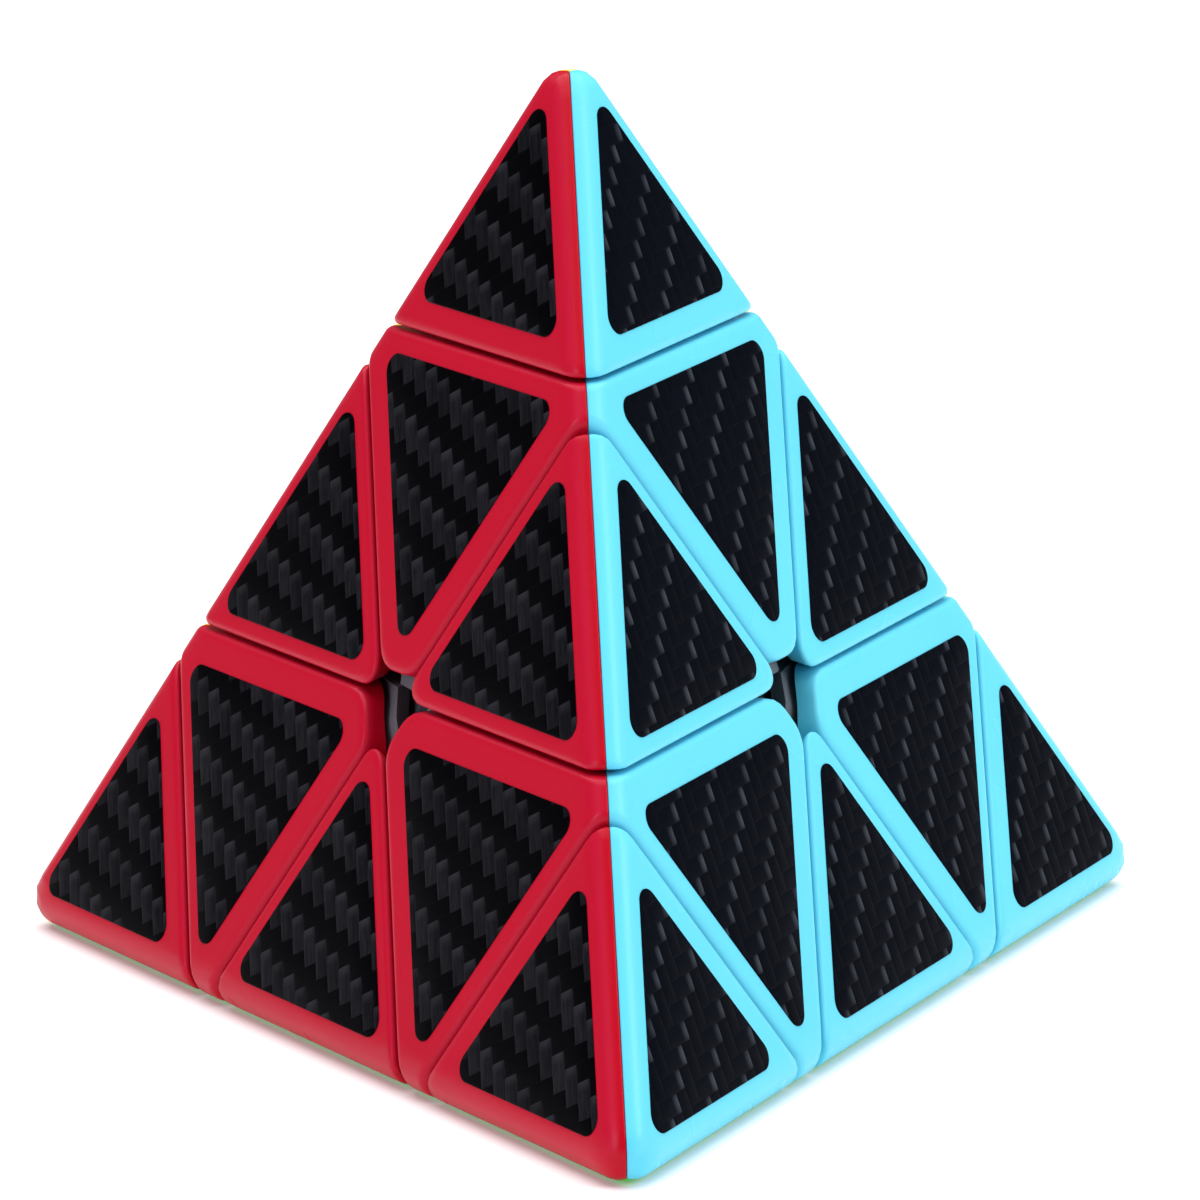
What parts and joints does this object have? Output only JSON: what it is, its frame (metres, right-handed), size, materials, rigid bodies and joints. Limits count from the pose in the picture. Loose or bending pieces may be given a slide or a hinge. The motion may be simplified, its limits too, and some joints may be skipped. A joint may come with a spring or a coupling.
{
  "type": "pyramid twisty puzzle",
  "caption": "Tetrahedral twisty puzzle with coloured hollow shells, turning corner layers, free tips and edge pieces running round a sprung core.",
  "frame": {"origin": "centre of the core, where the four turning axes cross", "axes": "+Z along the top tip's axis, the puzzle standing on its green face; -Y towards the front tip"},
  "size_m": [0.0986, 0.0859, 0.0809],
  "materials": {
    "red_plastic": "satin moulded colour",
    "blue_plastic": "satin moulded colour",
    "green_plastic": "satin moulded colour",
    "yellow_plastic": "satin moulded colour",
    "core_plastic": "matt moulded",
    "hub_plastic": "matt moulded, low friction",
    "screw_steel": "zinc plated",
    "spring_steel": "drawn spring wire",
    "sticker_vinyl": "black film printed with a carbon twill"
  },
  "bodies": {
    "core": {"core": "core_plastic", "screw_top": "screw_steel", "screw_front": "screw_steel", "screw_right": "screw_steel", "screw_left": "screw_steel", "spring_top": "spring_steel", "spring_front": "spring_steel", "spring_right": "spring_steel", "spring_left": "spring_steel"},
    "layer_top": {"hub_top": "hub_plastic", "centre_top_red": "red_plastic", "centre_top_blue": "blue_plastic", "centre_top_yellow": "yellow_plastic"},
    "layer_front": {"hub_front": "hub_plastic", "centre_front_red": "red_plastic", "centre_front_blue": "blue_plastic", "centre_front_green": "green_plastic"},
    "layer_right": {"hub_right": "hub_plastic", "centre_right_blue": "blue_plastic", "centre_right_green": "green_plastic", "centre_right_yellow": "yellow_plastic"},
    "layer_left": {"hub_left": "hub_plastic", "centre_left_red": "red_plastic", "centre_left_green": "green_plastic", "centre_left_yellow": "yellow_plastic"},
    "tip_top": {"tip_hub_top": "hub_plastic", "tip_top_red": "red_plastic", "tip_top_blue": "blue_plastic", "tip_top_yellow": "yellow_plastic"},
    "tip_front": {"tip_hub_front": "hub_plastic", "tip_front_red": "red_plastic", "tip_front_blue": "blue_plastic", "tip_front_green": "green_plastic"},
    "tip_right": {"tip_hub_right": "hub_plastic", "tip_right_blue": "blue_plastic", "tip_right_green": "green_plastic", "tip_right_yellow": "yellow_plastic"},
    "tip_left": {"tip_hub_left": "hub_plastic", "tip_left_red": "red_plastic", "tip_left_green": "green_plastic", "tip_left_yellow": "yellow_plastic"},
    "edge_top_front": {"foot_top_front": "hub_plastic", "edge_top_front_red": "red_plastic", "edge_top_front_blue": "blue_plastic"},
    "edge_top_right": {"foot_top_right": "hub_plastic", "edge_top_right_blue": "blue_plastic", "edge_top_right_yellow": "yellow_plastic"},
    "edge_top_left": {"foot_top_left": "hub_plastic", "edge_top_left_red": "red_plastic", "edge_top_left_yellow": "yellow_plastic"},
    "edge_front_right": {"foot_front_right": "hub_plastic", "edge_front_right_blue": "blue_plastic", "edge_front_right_green": "green_plastic"},
    "edge_front_left": {"foot_front_left": "hub_plastic", "edge_front_left_red": "red_plastic", "edge_front_left_green": "green_plastic"},
    "edge_right_left": {"foot_right_left": "hub_plastic", "edge_right_left_green": "green_plastic", "edge_right_left_yellow": "yellow_plastic"}
  },
  "joints": [
    {"name": "layer_top_turn", "type": "hinge", "parent": "core", "child": "layer_top", "pos_m": [0, 0, 0], "axis": [0, 0, 1], "range_deg": [-240, 120]},
    {"name": "layer_front_turn", "type": "hinge", "parent": "core", "child": "layer_front", "pos_m": [0, 0, 0], "axis": [0, -0.9428, -0.3333], "range_deg": [-240, 120]},
    {"name": "layer_right_turn", "type": "hinge", "parent": "core", "child": "layer_right", "pos_m": [0, 0, 0], "axis": [0.8165, 0.4714, -0.3333], "range_deg": [-240, 120]},
    {"name": "layer_left_turn", "type": "hinge", "parent": "core", "child": "layer_left", "pos_m": [0, 0, 0], "axis": [-0.8165, 0.4714, -0.3333], "range_deg": [-240, 120]},
    {"name": "tip_top_turn", "type": "hinge", "parent": "layer_top", "child": "tip_top", "pos_m": [0, 0, 0], "axis": [0, 0, 1], "continuous": true},
    {"name": "tip_front_turn", "type": "hinge", "parent": "layer_front", "child": "tip_front", "pos_m": [0, 0, 0], "axis": [0, -0.9428, -0.3333], "continuous": true},
    {"name": "tip_right_turn", "type": "hinge", "parent": "layer_right", "child": "tip_right", "pos_m": [0, 0, 0], "axis": [0.8165, 0.4714, -0.3333], "continuous": true},
    {"name": "tip_left_turn", "type": "hinge", "parent": "layer_left", "child": "tip_left", "pos_m": [0, 0, 0], "axis": [-0.8165, 0.4714, -0.3333], "continuous": true},
    {"name": "edge_top_front_with_front", "type": "hinge", "parent": "layer_top", "child": "edge_top_front", "pos_m": [0, 0, 0], "axis": [0, -0.9428, -0.3333], "range_deg": [-240, 120]},
    {"name": "edge_top_right_with_right", "type": "hinge", "parent": "layer_top", "child": "edge_top_right", "pos_m": [0, 0, 0], "axis": [0.8165, 0.4714, -0.3333], "range_deg": [-240, 120]},
    {"name": "edge_top_left_with_left", "type": "hinge", "parent": "layer_top", "child": "edge_top_left", "pos_m": [0, 0, 0], "axis": [-0.8165, 0.4714, -0.3333], "range_deg": [-240, 120]},
    {"name": "edge_front_right_with_right", "type": "hinge", "parent": "layer_front", "child": "edge_front_right", "pos_m": [0, 0, 0], "axis": [0.8165, 0.4714, -0.3333], "range_deg": [-240, 120]},
    {"name": "edge_right_left_with_left", "type": "hinge", "parent": "layer_right", "child": "edge_right_left", "pos_m": [0, 0, 0], "axis": [-0.8165, 0.4714, -0.3333], "range_deg": [-240, 120]},
    {"name": "edge_front_left_with_front", "type": "hinge", "parent": "layer_left", "child": "edge_front_left", "pos_m": [0, 0, 0], "axis": [0, -0.9428, -0.3333], "range_deg": [-240, 120]}
  ],
  "couplings": [
    {"joint": "edge_top_front_with_front", "follows": "layer_front_turn", "ratio": 1},
    {"joint": "edge_top_right_with_right", "follows": "layer_right_turn", "ratio": 1},
    {"joint": "edge_top_left_with_left", "follows": "layer_left_turn", "ratio": 1},
    {"joint": "edge_front_right_with_right", "follows": "layer_right_turn", "ratio": 1},
    {"joint": "edge_right_left_with_left", "follows": "layer_left_turn", "ratio": 1},
    {"joint": "edge_front_left_with_front", "follows": "layer_front_turn", "ratio": 1}
  ]
}
